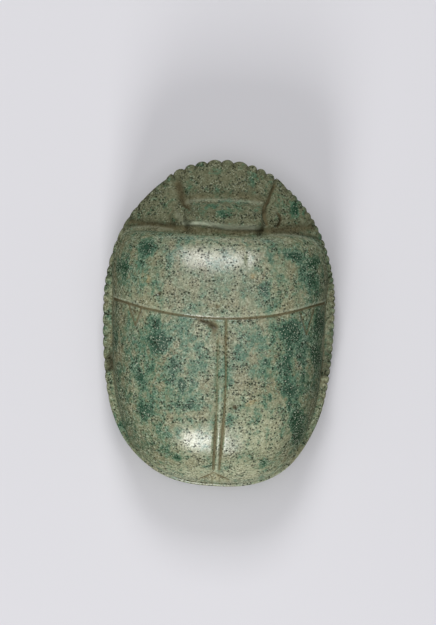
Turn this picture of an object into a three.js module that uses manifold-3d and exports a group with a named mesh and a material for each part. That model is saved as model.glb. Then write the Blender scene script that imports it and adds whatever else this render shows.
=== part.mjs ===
// A large scarab amulet, carved from one piece of soft stone and glazed green.
// Millimetres. +Z is up, +Y points to the head, and the origin is the middle of the flat underside.
// The beetle is one body: an oval base plate, three pairs of legs along its sides, a fan-shaped apron
// in front that carries the toothed clypeus and the front legs, the head with its two eyes, and the
// domed back, on which incised lines part the prothorax from the two wing cases.
import * as THREE from "three";
import { mergeVertices } from "three/addons/utils/BufferGeometryUtils.js";
import Module from "manifold-3d";

// Overall size
const LENGTH = 60;
const WIDTH = 42.8;
const HEIGHT = 23.5;

// Base plate
const PLATE_THICKNESS = 3.4;
const PLATE_BEVEL = 0.5;
const PLATE_SET_BACK = 0.35; // the plate's edge lies this far behind the tips of the teeth

// Legs, which stand on the edge of the plate, and what lies behind them
const LEDGE = 2.0; // from the outline in to the flank of the back
const TAIL_LEDGE = 0.75;
const LEG_DEPTH = 3.3; // height of a leg's outer face
const LEG_ROUNDING = 0.6;
const LEG_RISE = 0.9; // a leg's upper face climbs this much from its outer edge to the flank
const LEG_TOOTH = 0.28;
const LEG_TOOTH_PITCH = 1.45;
const FRONT_SLOT = 0.7; // the line cut between the front legs and the plate
const FRONT_EDGE_ROUNDING = 1.6; // front edge of the prothorax

// Incised lines
const NECK_WIDTH = 1.5; // the hollow between the head and the prothorax
const NECK_DEPTH = 0.8;
const SUTURE_WIDTH = 0.6;
const SUTURE_DEPTH = 0.5;
const MIDLINE_WIDTH = 0.5;
const MIDLINE_DEPTH = 0.45;
const MIDLINE_GAP = 1.35; // between the two lines that part the wing cases
const NOTCH_WIDTH = 0.4;
const NOTCH_DEPTH = 0.35;
const CHEEK_GROOVE_WIDTH = 1.3;
const CHEEK_GROOVE_DEPTH = 0.9;

// Lobes on the edge of the clypeus, which stands a little further out than the front legs
const LOBE_COUNT = 9;
const LOBE_DEPTH = 0.6;
const CLYPEUS_LEAD = 0.35;

// The beetle's own proportions: stations and lengths as shares of the amulet's length, places and
// widths across it as shares of its width, and rises as shares of its height
const along = (share) => share * LENGTH;
const across = (share) => share * WIDTH;
const upward = (share) => share * HEIGHT;
const WIDEST = along(0.049); // station of the widest section
const SUTURE_END = along(0.065); // where the suture meets the flanks
const SUTURE_SAG = along(0.051); // how far it hangs back on the midline
const PROTHORAX_FRONT = along(0.293);
const PROTHORAX_HOLLOW = along(0.031); // how far its front edge is hollow on the midline
const PROTHORAX_RISE = upward(0.2); // its front edge above the apron
const FLANK_RISE = upward(0.26); // top of the upright flank above the plate, at the sides
const TAIL_FLANK_RISE = upward(0.187); // the same at the tail
const RIM_RISE = upward(0.17); // outer edge of the apron above the plate
const APRON_CLIMB = upward(0.672); // from the rim up to where its slopes would meet
const HEAD = {
  rear: along(0.288), front: along(0.368), half: across(0.177),
  rise: upward(0.148), // its rear ridge above the apron
  fall: upward(0.054), // how much less its front edge stands above the apron
  crown: upward(0.051), // from the midline down to its sides
  rounding: along(0.012),
};
const NECK_FLOOR = upward(0.055); // below the head's rear ridge, where the head joins the prothorax
const EYE = { x: across(0.208), y: along(0.317), rx: across(0.024), ry: along(0.021), rz: upward(0.041) };
const CLYPEUS_HALF = across(0.218); // half its width at the outline
const CHEEK_REAR = { x: across(0.163), y: along(0.38) };
const SHOULDER_NOTCH = {
  outer: across(0.404), inner: across(0.342), // where its sides meet the suture
  tip: { x: across(0.373), y: -along(0.014) },
};
const MIDLINE_TAIL = -along(0.449); // where the two middle lines end
const FRONT_LEG_REAR = along(0.13);
const MIDDLE_LEG = { from: along(0.135), to: -along(0.155), high: upward(0.238), low: upward(0.051) };
const HIND_LEG = { from: -along(0.145), to: -along(0.425), high: upward(0.213), low: upward(0.038) };

// Each end of a plan is half a superellipse: its length from the plan's centre, how full its
// corners are, and how far its sides swell out midway.
const BASE_PLAN = {
  centre: WIDEST,
  halfWidth: WIDTH / 2,
  front: { length: LENGTH / 2 - WIDEST, fullness: 2.02, swell: 0 },
  back: { length: LENGTH / 2 + WIDEST, fullness: 2.66, swell: 0 },
};
const BACK_PLAN = {
  centre: SUTURE_END,
  halfWidth: WIDTH / 2 - LEDGE,
  front: { length: PROTHORAX_FRONT - SUTURE_END, fullness: 7, swell: 0.018 },
  back: { length: LENGTH / 2 - TAIL_LEDGE + SUTURE_END, fullness: 2.95, swell: 0 },
};
const CROSS_FULLNESS = 2.95; // of the back's cross sections
const CREST_FULLNESS = 2.6; // of the prothorax's profile from the side
const DOME_FULLNESS = 2.1;
const HEAD_FULLNESS = 4;
const TOOTH_FULLNESS = 0.6;

const UPWARD = new THREE.Vector3(0, 0, 1);
const clamp = (value, low, high) => Math.min(high, Math.max(low, value));
const mix = (a, b, share) => a + (b - a) * share;

// The swelling of a plan's side at a share of the way from its centre to its end.
const swelling = (end, share) => 1 + end.swell * 4 * share * (1 - share);

// The point of a plan at an angle from +Y towards +X, moved in by an inset.
function planPoint(plan, angle, inset = 0) {
  const s = Math.sin(angle);
  const c = Math.cos(angle);
  const end = c > 0 ? plan.front : plan.back;
  const reach = (Math.abs(s) ** end.fullness + Math.abs(c) ** end.fullness) ** (-1 / end.fullness);
  const wide = (plan.halfWidth - inset) * swelling(end, Math.abs(c) * reach);
  return [wide * s * reach, plan.centre + (end.length - inset) * c * reach];
}

// The plan's angle at a station, and its half-width there as a share of the widest.
const endOf = (plan, station) => (station > plan.centre ? plan.front : plan.back);
function halfShare(plan, station) {
  const end = endOf(plan, station);
  const share = clamp(Math.abs(station - plan.centre) / end.length, 0, 1);
  return swelling(end, share) * (1 - share ** end.fullness) ** (1 / end.fullness);
}
const angleAt = (plan, station) =>
  Math.atan2(halfShare(plan, station), (station - plan.centre) / endOf(plan, station).length);

// How far the back's cross lines hang towards the tail on the midline, at a station.
function sag(station) {
  const share = clamp(Math.abs(station - SUTURE_END) / endOf(BACK_PLAN, station).length, 0, 1);
  return station > SUTURE_END ? mix(SUTURE_SAG, PROTHORAX_HOLLOW, share) : SUTURE_SAG * (1 - share) ** 2;
}

// A plan station on the back, moved by its sag: full on the midline, nothing at the flank.
const sagged = (x, station) => station - sag(station) * (1 - clamp(x / BACK_PLAN.halfWidth, -1, 1) ** 2);

const flankTop = (station) => {
  const share = clamp((SUTURE_END - station) / BACK_PLAN.back.length, 0, 1);
  return PLATE_THICKNESS + mix(FLANK_RISE, TAIL_FLANK_RISE, share ** 2);
};

// Height of the apron: a cone that climbs from the rim towards the neck.
function apronHeight(x, y) {
  const out = Math.hypot(x / BASE_PLAN.halfWidth, (y - WIDEST) / BASE_PLAN.front.length);
  return PLATE_THICKNESS + RIM_RISE + APRON_CLIMB * Math.max(0, 1 - out);
}

// Height of the back over a point: cross sections that are superellipses and span the plan, under a
// crest that falls to nothing at the tail and, at the front, to a high edge, which is rounded over.
function domeHeight(x, station) {
  const low = flankTop(station);
  const ahead = station - SUTURE_END;
  const share = clamp(Math.abs(ahead) / endOf(BACK_PLAN, station).length, 0, 1);
  const frontEdge = apronHeight(0, PROTHORAX_FRONT) + PROTHORAX_RISE;
  const edgeShare = (frontEdge - low) / (HEIGHT - low);
  const fallen = ahead > 0
    ? (1 - edgeShare ** DOME_FULLNESS) * share ** CREST_FULLNESS
    : share ** BACK_PLAN.back.fullness;
  const half = BACK_PLAN.halfWidth * halfShare(BACK_PLAN, station);
  const aside = half > 0 ? clamp(Math.abs(x) / half, 0, 1) : 1;
  const dome = ((1 - fallen) * (1 - aside ** CROSS_FULLNESS)) ** (1 / DOME_FULLNESS);
  const short = FRONT_EDGE_ROUNDING - clamp(PROTHORAX_FRONT - station, 0, FRONT_EDGE_ROUNDING);
  const rounding = FRONT_EDGE_ROUNDING - Math.sqrt(FRONT_EDGE_ROUNDING ** 2 - short ** 2);
  return Math.max(low, low + (HEIGHT - low) * dome - rounding);
}

const wasm = await Module();
wasm.setup();

// A closed surface through rings of equal length, each end shut by a fan to the ring's middle.
function closedSurface(rings) {
  const count = rings[0].length;
  const vertices = rings.flat();
  const middle = (ring) => [0, 1, 2].map((axis) => ring.reduce((sum, p) => sum + p[axis], 0) / count);
  const first = vertices.push(middle(rings[0])) - 1;
  const last = vertices.push(middle(rings.at(-1))) - 1;
  const faces = [];
  for (let i = 0; i < count; i++) {
    const j = (i + 1) % count;
    faces.push(first, j, i, last, (rings.length - 1) * count + i, (rings.length - 1) * count + j);
    for (let k = 0; k < rings.length - 1; k++) {
      const [a, b] = [k * count + i, k * count + j];
      faces.push(a, b, a + count, b, b + count, a + count);
    }
  }
  const geometry = new THREE.BufferGeometry();
  geometry.setAttribute("position", new THREE.Float32BufferAttribute(vertices.flat(), 3));
  return geometry.setIndex(faces);
}

// A closed geometry as a solid that can be joined and cut, with its faces turned to point out.
function solid(geometry) {
  const bare = geometry.clone().deleteAttribute("normal").deleteAttribute("uv");
  const merged = mergeVertices(bare, 1e-4);
  const vertProperties = merged.attributes.position.array;
  const build = (triVerts) => new wasm.Manifold(new wasm.Mesh({ numProp: 3, vertProperties, triVerts }));
  const faces = new Uint32Array(merged.index.array);
  const made = build(faces);
  if (made.volume() > 0) return made;
  for (let i = 0; i < faces.length; i += 3) [faces[i], faces[i + 1]] = [faces[i + 1], faces[i]];
  return build(faces);
}

const turn = (count, at) => Array.from({ length: count }, (_, i) => at((2 * Math.PI * i) / count));
const steps = (count, at) => Array.from({ length: count + 1 }, (_, i) => at(i / count));

// The oval base plate, with a small bevel on both edges. At the tail, which has no teeth, its edge
// comes out to the full outline.
function basePlate() {
  const around = 64;
  const tailFullness = 6; // how closely the edge keeps its set-back before it comes out
  const levels = [
    [PLATE_BEVEL, 0],
    [0, PLATE_BEVEL],
    [0, PLATE_THICKNESS - PLATE_BEVEL],
    [PLATE_BEVEL, PLATE_THICKNESS],
  ];
  return solid(closedSurface(levels.map(([bevel, z]) => turn(around, (angle) => {
    const setBack = PLATE_SET_BACK * (1 - Math.max(0, -Math.cos(angle)) ** tailFullness);
    return [...planPoint(BASE_PLAN, angle, setBack + bevel), z];
  }))));
}

// The domed back, from inside the plate up: an upright flank, then rings that close on the crown.
function back() {
  const around = 60;
  const crownRings = 11;
  const closing = 0.97; // the last ring is this far round from the flank to the crown
  const crowding = 0.75; // below 1 the rings crowd towards the flank
  const floor = turn(around, (angle) => {
    const [x, station] = planPoint(BACK_PLAN, angle);
    return [x, sagged(x, station), PLATE_THICKNESS / 2];
  });
  const rings = steps(crownRings, (share) => {
    const out = Math.cos((share * closing * Math.PI) / 2) ** crowding;
    return turn(around, (angle) => {
      const [edgeX, edgeStation] = planPoint(BACK_PLAN, angle);
      const x = edgeX * out;
      const station = mix(SUTURE_END, edgeStation, out);
      return [x, sagged(x, station), domeHeight(x, station)];
    });
  });
  return solid(closedSurface([floor, ...rings]));
}

// The edge of a lobe or tooth: 1 on its tip, 0 in the notches on both sides of it.
const toothed = (share) => Math.abs(Math.sin(Math.PI * share)) ** TOOTH_FULLNESS;

// The outline of the apron, from the rear end of one front leg to that of the other: an angle and
// how far the outline is cut back there. The clypeus has nine broad lobes, the legs smaller teeth.
const CLYPEUS_ANGLE = Math.asin(CLYPEUS_HALF / BASE_PLAN.halfWidth);
function apronOutline() {
  const stepsInLobe = 4;
  const stepsInTooth = 3;
  const end = angleAt(BASE_PLAN, FRONT_LEG_REAR);
  const meanRadius = (BASE_PLAN.halfWidth + BASE_PLAN.front.length) / 2;
  const teeth = Math.round(((end - CLYPEUS_ANGLE) * meanRadius) / LEG_TOOTH_PITCH);
  const legSide = (side) => steps(teeth * stepsInTooth, (share) => ({
    angle: side * mix(CLYPEUS_ANGLE, end, share),
    cut: CLYPEUS_LEAD + LEG_TOOTH * (1 - toothed(share * teeth)),
  }));
  const lobes = steps(LOBE_COUNT * stepsInLobe, (share) => ({
    angle: mix(-CLYPEUS_ANGLE, CLYPEUS_ANGLE, share),
    cut: LOBE_DEPTH * (1 - toothed(share * LOBE_COUNT)),
  }));
  return [...legSide(-1).slice(1).reverse(), ...lobes, ...legSide(1).slice(1)];
}

// The apron: a low cone over the front of the plate, which ends where the front legs end.
function apron() {
  const outline = apronOutline();
  const ring = (inset, toothShare, z) => outline.map(({ angle, cut }) => {
    const [x, y] = planPoint(BASE_PLAN, angle, inset + cut * toothShare);
    return [x, y, z(x, y)];
  });
  const foot = () => PLATE_THICKNESS + FRONT_SLOT;
  const rim = () => PLATE_THICKNESS + RIM_RISE - LEG_ROUNDING;
  const toothReach = 3 * LEG_ROUNDING; // the lobes and teeth fade out this far in from the edge
  const underTheBack = BASE_PLAN.front.length - (PROTHORAX_FRONT - WIDEST) + BASE_PLAN.front.length / 12;
  return solid(closedSurface([
    ring(LEDGE, 0, () => PLATE_THICKNESS / 2),
    ring(LEDGE, 0, foot),
    ring(0, 1, foot),
    ring(0, 1, rim),
    ring(LEG_ROUNDING, 1, apronHeight),
    ring(toothReach, 0, apronHeight),
    ring(underTheBack, 0, apronHeight),
  ]));
}

// The head: a block with rounded edges whose top slopes from a ridge at the neck to the clypeus.
function head() {
  const around = 32;
  const halfLength = (HEAD.front - HEAD.rear) / 2;
  const end = { length: halfLength, fullness: HEAD_FULLNESS, swell: 0 };
  const plan = { centre: HEAD.rear + halfLength, halfWidth: HEAD.half, front: end, back: end };
  const top = (x, y) => {
    const share = (y - HEAD.rear) / (2 * halfLength);
    return apronHeight(0, y) + HEAD.rise - HEAD.fall * share - HEAD.crown * (x / HEAD.half) ** 2;
  };
  const ring = (inset, z) => turn(around, (angle) => {
    const [x, y] = planPoint(plan, angle, inset);
    return [x, y, z(x, y)];
  });
  const roundedEdge = steps(2, (share) => {
    const turned = (share * Math.PI) / 2;
    const drop = HEAD.rounding * (1 - Math.sin(turned));
    return ring(HEAD.rounding * (1 - Math.cos(turned)), (x, y) => top(x, y) - drop);
  });
  return solid(closedSurface([
    ring(0, () => PLATE_THICKNESS),
    ...roundedEdge,
    ring((HEAD.rounding + halfLength) / 2, top),
  ]));
}

// The neck: a low block that joins the head to the prothorax between the two hollows.
function neckBlock() {
  const half = HEAD.half - HEAD.rounding;
  const rear = HEAD.rear - PROTHORAX_HOLLOW - NECK_WIDTH;
  const front = mix(HEAD.rear, HEAD.front, 0.5);
  const top = apronHeight(0, HEAD.rear) + HEAD.rise - NECK_FLOOR;
  const corners = [[-half, rear], [half, rear], [half, front], [-half, front]];
  const crowned = corners.map(([x, y]) => [x, y, top - HEAD.crown]);
  const ridge = [[-half / 2, rear], [half / 2, rear], [half / 2, front], [-half / 2, front]];
  return solid(closedSurface([
    corners.map(([x, y]) => [x, y, PLATE_THICKNESS]),
    crowned,
    ridge.map(([x, y]) => [x, y, top]),
  ]));
}

function eye(side) {
  const ball = new THREE.SphereGeometry(1, 12, 8).scale(EYE.rx, EYE.ry, EYE.rz);
  return solid(ball.translate(side * EYE.x, EYE.y, apronHeight(EYE.x, EYE.y)));
}

// A leg that runs along the outline from a high end in front to a low end behind, with a toothed
// outer face and a line of shadow between it and the plate.
function leg(side, { from, to, high, low }) {
  const teeth = Math.round((from - to) / LEG_TOOTH_PITCH);
  const stepsInTooth = 3;
  return solid(closedSurface(steps(teeth * stepsInTooth, (share) => {
    const station = mix(from, to, share);
    const angle = angleAt(BASE_PLAN, station);
    const bite = LEG_TOOTH * (1 - toothed(share * teeth));
    const taper = LEG_ROUNDING * Math.max(0, 1 - Math.min(share, 1 - share) * teeth);
    const top = PLATE_THICKNESS + mix(high, low, share) - taper;
    const bottom = Math.max(PLATE_THICKNESS / 2, top - LEG_DEPTH);
    const inner = LEDGE + LEG_ROUNDING;
    const section = [
      [bite, bottom],
      [bite, top - LEG_ROUNDING],
      [bite + LEG_ROUNDING, top],
      [inner, top + LEG_RISE],
      [inner, bottom],
    ];
    return section.map(([inset, z]) => {
      const [x, y] = planPoint(BASE_PLAN, angle, inset);
      return [side * x, y, z];
    });
  })));
}

// Sweeps a V-shaped cutter along a line that lies on a surface. The line gives a point and the
// surface's normal there; the cutter stands a little proud of the surface, so it cuts cleanly.
function groove(count, line, width, depth) {
  const proud = 2 * width;
  const near = 0.01;
  return solid(closedSurface(steps(count, (share) => {
    const { point, normal } = line(share);
    const ahead = line(Math.min(1, share + near)).point;
    const behind = line(Math.max(0, share - near)).point;
    const aside = ahead.clone().sub(behind).cross(normal).normalize();
    return [[-0.5, proud], [-0.5, 0], [0, -depth], [0.5, 0], [0.5, proud]].map(([wide, up]) =>
      point.clone().addScaledVector(aside, wide * width).addScaledVector(normal, up).toArray());
  })));
}

// A point of a height field over (x, y) and the field's normal there.
function onField(height, x, y) {
  const step = 0.02;
  const slope = (dx, dy) => (height(x + dx, y + dy) - height(x - dx, y - dy)) / (2 * step);
  return {
    point: new THREE.Vector3(x, y, height(x, y)),
    normal: new THREE.Vector3(-slope(step, 0), -slope(0, step), 1).normalize(),
  };
}

// The back as a height field over plan points, with the sag undone to find the station.
function backHeight(x, y) {
  const rounds = 6;
  let station = y;
  for (let i = 0; i < rounds; i++) station += y - sagged(x, station);
  return domeHeight(x, station);
}

function suture() {
  const half = 0.998 * BACK_PLAN.halfWidth; // it ends just short of the upright flank
  return groove(18, (share) => {
    const x = half * Math.sin(mix(-Math.PI / 2, Math.PI / 2, share));
    return onField(backHeight, x, sagged(x, SUTURE_END));
  }, SUTURE_WIDTH, SUTURE_DEPTH);
}

function midline(side) {
  const x = (side * MIDLINE_GAP) / 2;
  return groove(14, (share) =>
    onField(backHeight, x, mix(SUTURE_END - SUTURE_SAG, MIDLINE_TAIL, Math.sin((share * Math.PI) / 2))),
  MIDLINE_WIDTH, MIDLINE_DEPTH);
}

// The V-shaped notch at the shoulder of a wing case, hung from the suture.
function shoulderNotch(side) {
  const { outer, inner, tip } = SHOULDER_NOTCH;
  return [outer, inner].map((topX) => {
    const topY = sagged(topX, SUTURE_END);
    return groove(5, (share) =>
      onField(backHeight, side * mix(topX, tip.x, share), mix(topY, tip.y, share)),
    NOTCH_WIDTH, NOTCH_DEPTH);
  });
}

// The hollow that runs in front of the prothorax from the head out to a front leg.
function neckHollow(side) {
  const from = HEAD.half - HEAD.rounding / 2;
  const to = 0.85 * BACK_PLAN.halfWidth; // it ends short of the rim
  return groove(5, (share) => {
    const x = side * mix(from, to, share);
    const y = sagged(x, PROTHORAX_FRONT) + NECK_WIDTH / 2;
    return { point: onField(apronHeight, x, y).point, normal: UPWARD };
  }, NECK_WIDTH, NECK_DEPTH);
}

// The groove between the clypeus and a front leg, which runs out over the edge.
function cheekGroove(side) {
  const [outX, outY] = planPoint(BASE_PLAN, CLYPEUS_ANGLE, -CLYPEUS_LEAD);
  return groove(6, (share) =>
    onField(apronHeight, side * mix(CHEEK_REAR.x, outX, share), mix(CHEEK_REAR.y, outY, share)),
  CHEEK_GROOVE_WIDTH, CHEEK_GROOVE_DEPTH);
}

function scarab() {
  const sides = [-1, 1];
  const masses = [
    basePlate(), back(), apron(), head(), neckBlock(),
    ...sides.flatMap((side) => [eye(side), leg(side, MIDDLE_LEG), leg(side, HIND_LEG)]),
  ];
  const cuts = [
    suture(),
    ...sides.flatMap((side) => [neckHollow(side), midline(side), ...shoulderNotch(side), cheekGroove(side)]),
  ];
  const joined = masses.reduce((whole, piece) => whole.add(piece));
  return cuts.reduce((whole, cut) => whole.subtract(cut), joined);
}

// A carved body as a named mesh.
function meshOf(body, name, material) {
  const { vertProperties, triVerts } = body.getMesh();
  const geometry = new THREE.BufferGeometry();
  geometry.setAttribute("position", new THREE.Float32BufferAttribute(vertProperties, 3));
  geometry.setIndex(new THREE.BufferAttribute(triVerts, 1));
  geometry.computeVertexNormals();
  const mesh = new THREE.Mesh(geometry, material);
  mesh.name = name;
  return mesh;
}

const glazedStone = new THREE.MeshStandardMaterial({ color: 0x8c9a7e, roughness: 0.45, metalness: 0 });

const amulet = new THREE.Group();
amulet.name = "scarab_amulet";
amulet.add(meshOf(scarab(), "scarab", glazedStone));

export default amulet;
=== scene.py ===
"""A large scarab amulet of carved, green-glazed soft stone, seen from straight above.

The amulet is one mesh. Its upper side is a grid wrapped over the carving, its edge is a band of
rings round the outline, and its underside closes the band. Sizes are in millimetres until the
mesh is made; +Z is up, +Y points to the head, and the origin is the middle of the underside.
Plan angles and compass angles turn from +Y towards +X.
"""
import math

import bpy
import numpy as np
from mathutils import Matrix, Vector


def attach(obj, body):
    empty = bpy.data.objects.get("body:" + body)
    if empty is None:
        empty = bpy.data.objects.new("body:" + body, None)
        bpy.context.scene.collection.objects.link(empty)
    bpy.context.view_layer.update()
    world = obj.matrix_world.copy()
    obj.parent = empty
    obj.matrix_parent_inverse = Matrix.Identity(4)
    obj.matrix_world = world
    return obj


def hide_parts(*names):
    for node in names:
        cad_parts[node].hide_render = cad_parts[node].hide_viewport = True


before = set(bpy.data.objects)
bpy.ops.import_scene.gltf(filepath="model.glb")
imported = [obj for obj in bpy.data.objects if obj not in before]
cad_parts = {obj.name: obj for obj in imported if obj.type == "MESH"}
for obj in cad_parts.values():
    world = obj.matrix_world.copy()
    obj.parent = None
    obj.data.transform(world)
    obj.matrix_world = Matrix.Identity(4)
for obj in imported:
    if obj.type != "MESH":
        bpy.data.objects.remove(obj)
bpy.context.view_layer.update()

MM = 0.001

# Overall size
HALF_LENGTH = 30.0
HALF_WIDTH = 21.4
HEIGHT = 23.5

# Base plate, ledge and legs
PLATE = 3.4
PLATE_BEVEL = 0.5
PLATE_SET_BACK = 0.35
LEDGE = 2.0
TAIL_LEDGE = 0.75
LEG_DEPTH = 3.3
LEG_RISE = 0.9
EDGE_ROUNDING = 0.55
FRONT_SLOT = 0.7
SLOT_DEPTH = 1.5
RIM_RISE = 4.0
APRON_CLIMB = 15.79
UNDER_LINE = (1.9, 2.15, 2.4)  # insets of the incised border line on the underside
UNDER_LINE_DEPTH = 0.35

# Stations along the body
WIDEST = 2.94
SUTURE = 3.9
SUTURE_SAG = 3.06
PROTHORAX_FRONT = 17.58
PROTHORAX_HOLLOW = 1.86
PROTHORAX_RISE = 4.7
FRONT_EDGE_ROUNDING = 1.6
FRONT_LEG_REAR = 7.8
FLANK_RISE = 6.11
TAIL_FLANK_RISE = 4.39
MIDDLE_LEG = (8.1, -9.0, 5.6, 1.2)  # front station, rear station, rise there and there
HIND_LEG = (-9.0, -25.5, 5.0, 0.9)
TAIL_ASKEW = 0.03  # the tail end is cut a little askew, as a slope across it

# Each end of a plan: its length from the centre, how full its corners are and its swell midway
BODY_HALF = HALF_WIDTH - LEDGE
BODY_FRONT = (PROTHORAX_FRONT - SUTURE, 7.0, 0.018)
BODY_BACK = (HALF_LENGTH - TAIL_LEDGE + SUTURE, 2.95, 0.0)
BASE_FRONT = (HALF_LENGTH - WIDEST, 2.02, 0.0)
BASE_BACK = (HALF_LENGTH + WIDEST, 2.62, 0.0)
CROSS_FULLNESS = 2.7
CREST_FULLNESS = 2.6
DOME_FULLNESS = 2.1

# Head, neck and eyes
HEAD_MIDDLE = 0.35
HEAD_HALF = 7.3
HEAD_REAR = 17.4
HEAD_REAR_STEP = 0.42
HEAD_FRONT = 22.1
HEAD_RISE = 3.1
HEAD_FALL = 1.7
HEAD_ROUNDINGS = (0.9, 1.2, 0.8)  # of its sides, rear edge and front edge
HEAD_FOOT = 1.5  # the head's walls start this far below the apron
NECK_HEIGHT = 16.4
EYES = ((9.55, 19.1), (-8.5, 18.9))
EYE_RADII = (1.15, 1.4)
EYE_RISE = 1.35
EYE_SINK = 0.55  # how far below the apron the widest part of an eye lies
VALLEY_DEPTH = 0.75  # in front of the prothorax
DISH_DEPTH = 0.9  # in front of the head

# The notches between the lobes of the clypeus, by how far across they are
CLYPEUS_NOTCHES = (-9.4, -7.3, -5.3, -3.05, -0.33, 1.9, 4.7, 6.4, 8.1, 9.7)
LOBE_DEPTH = 0.66
FIRST_TEETH = {-1: [2.3], 1: [3.2, 1.4]}  # pitches of the front leg's teeth beside the clypeus
SIDE_TEETH = {-1: 2.1, 1: 1.4}
TOOTH_DEPTH = {-1: 0.2, 1: 0.36}
SIDE_TOOTH_DEPTH = 0.3
FRONT_LEG_SET_BACK = {-1: 0.65, 1: 0.3}  # beside the clypeus
LEG_SET_BACK = 0.12
SET_BACK_RAMP = 0.1  # the plan angle over which the set-back comes in
TOOTH_FULLNESS = 0.6
TOOTH_REACH = 0.9  # how far in from the rim the teeth show on the legs' tops
FOOT_ROOM = 1.0  # the back keeps this far inside the outline at its front corners
OUTLINE_STEPS = 7201  # plan angles at which the outlines are worked out

# Plan angles along the teeth
FRONT_PITCH_UNTIL = math.radians(72)  # the front leg's pitch gives way to the side teeth's
NOTCHES_UNTIL = math.radians(150)
SIDE_TEETH_RAMP = (math.radians(60), math.radians(80))  # the side teeth's depth comes in
TEETH_FADE = (math.radians(112), math.radians(124))

# The grid of the upper side: half its columns and its rows ahead of and behind the suture
HALF_COLUMNS = 112
FRONT_ROWS = 124
BACK_ROWS = 188
MIDLINE_COLUMNS = 36  # columns close together across the two midlines
MIDLINES_FROM = -0.022  # across the grid, whose sides lie at -1 and 1
MIDLINES_TO = 0.09
ROW_CROWDING = 0.62  # how close the rows are at the suture against their mean
REACH_AHEAD = 21.0  # the grid's rays point as if it were this long ahead, and this behind
REACH_BEHIND = 33.0

# Where the back ends and its flank ends, as shares of the way from the middle to the edge
BACK_SHARE = {"front": 0.54, "side": 0.8, "tail": 0.84}
FLANK_SHARE = 0.05

# The two lines between the wing cases, which wander a little, as places from front to rear
LEFT_MIDLINE = ((0.05, 0.6), (0.05, -8.6), (0.15, -14.2), (0.05, -19.7), (-0.12, -26.6))
RIGHT_MIDLINE = ((1.35, 0.8), (1.4, -4.0), (1.66, -9.6), (1.62, -14.2), (1.34, -19.7), (0.93, -26.6))
MIDLINES = ((LEFT_MIDLINE, -2.4, 0.6), (RIGHT_MIDLINE, 1.4, 0.8))  # where each begins, its strength
MIDLINES_DEEPEN = (-15.0, -19.5)
MIDLINE_WIDTHS = (0.22, 0.28)  # ahead of where they deepen, and behind
MIDLINE_DEPTH = 0.34
MIDLINE_BROWN = 0.9
SUTURE_MARK = (0.26, 0.3, 0.95)  # width, depth, brown deposit

# Brown deposit that lies in the valley, in the dish before the head and along the flank's foot
VALLEY_BROWN = 0.5
DISH_BROWN = 0.42
FOOT_BROWN = 0.7

UNEVENNESS = ((9.0, 0.05), (3.0, 0.03))  # the worn surface's waves: length, height

# Incised on the back: places along the line, width, depth, brown deposit
BACK_LINES = (
    (((-16.6, 3.3), (-15.1, -0.9), (-14.0, 2.6)), 0.22, 0.28, 0.75),
    (((17.4, 3.2), (16.1, -1.6), (14.8, 2.4)), 0.2, 0.26, 0.65),
)

# Incised, hollowed or cracked anywhere: places along the line, width, depth, brown deposit
LINES = (
    (((-8.4, 25.6), (-7.7, 23.6), (-6.4, 21.3)), 0.95, 0.8, 0.6),
    (((9.6, 25.8), (8.7, 23.6), (7.8, 21.6), (7.9, 19.6), (8.4, 18.2)), 0.34, 0.55, 0.75),
    (((10.3, 20.4), (10.9, 19.5), (10.7, 18.6), (10.3, 18.0)), 0.22, 0.35, 0.9),
    (((-9.0, 20.3), (-9.7, 19.2), (-9.3, 18.0)), 0.3, 0.2, 0.4),
    (((-7.2, 18.6), (-7.0, 21.2)), 0.3, 0.1, 0.35),
    (((16.0, -0.9), (16.8, -2.1)), 0.15, 0.18, 0.4),
    (((-2.6, -28.6), (0.0, -27.3), (2.6, -28.6)), 0.22, 0.2, 0.65),
    (((-1.6, -28.3), (-1.6, -29.2)), 0.16, 0.15, 0.55),
    (((-0.3, -28.3), (-0.3, -29.2)), 0.16, 0.15, 0.55),
    (((1.1, -28.3), (1.1, -29.2)), 0.16, 0.15, 0.55),
    (((-3.4, 0.5), (-2.0, 0.0)), 0.35, 0.15, 0.8),
    (((-10.1, -12.3), (-9.0, -13.4), (-7.4, -14.2)), 0.1, 0.15, 0.5),
    (((-7.4, -6.6), (-6.0, -8.2), (-5.4, -9.9)), 0.1, 0.1, 0.4),
    (((0.9, 0.2), (4.4, 0.5)), 0.12, 0.12, 0.4),
)

# Pits, chips and stains: middle, half sizes, turn, depth, brown deposit
SPOTS = (
    ((-10.9, 5.0), (0.35, 0.35), 0.0, 0.5, 1.0),
    ((-1.0, -0.4), (1.25, 0.7), -0.5, 0.4, 1.0),
    ((-0.7, -1.3), (0.7, 0.8), 0.0, 0.2, 0.7),
    ((-0.2, 3.0), (0.7, 0.6), 0.0, 0.15, 0.6),
    ((3.4, -15.0), (0.45, 0.5), 0.4, 0.15, 0.8),
    ((-15.2, 1.5), (0.8, 1.4), 0.0, 0.0, 0.5),
    # The next spot's brown is also painted shade, in the recess between the middle and hind legs
    ((-19.7, -8.0), (0.5, 1.7), 0.1, 0.15, 0.4),
    ((-15.0, 5.4), (0.3, 0.3), 0.0, 0.2, 0.5),
    ((4.9, 11.6), (0.3, 1.2), 0.1, 0.1, 0.4),
)

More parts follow.
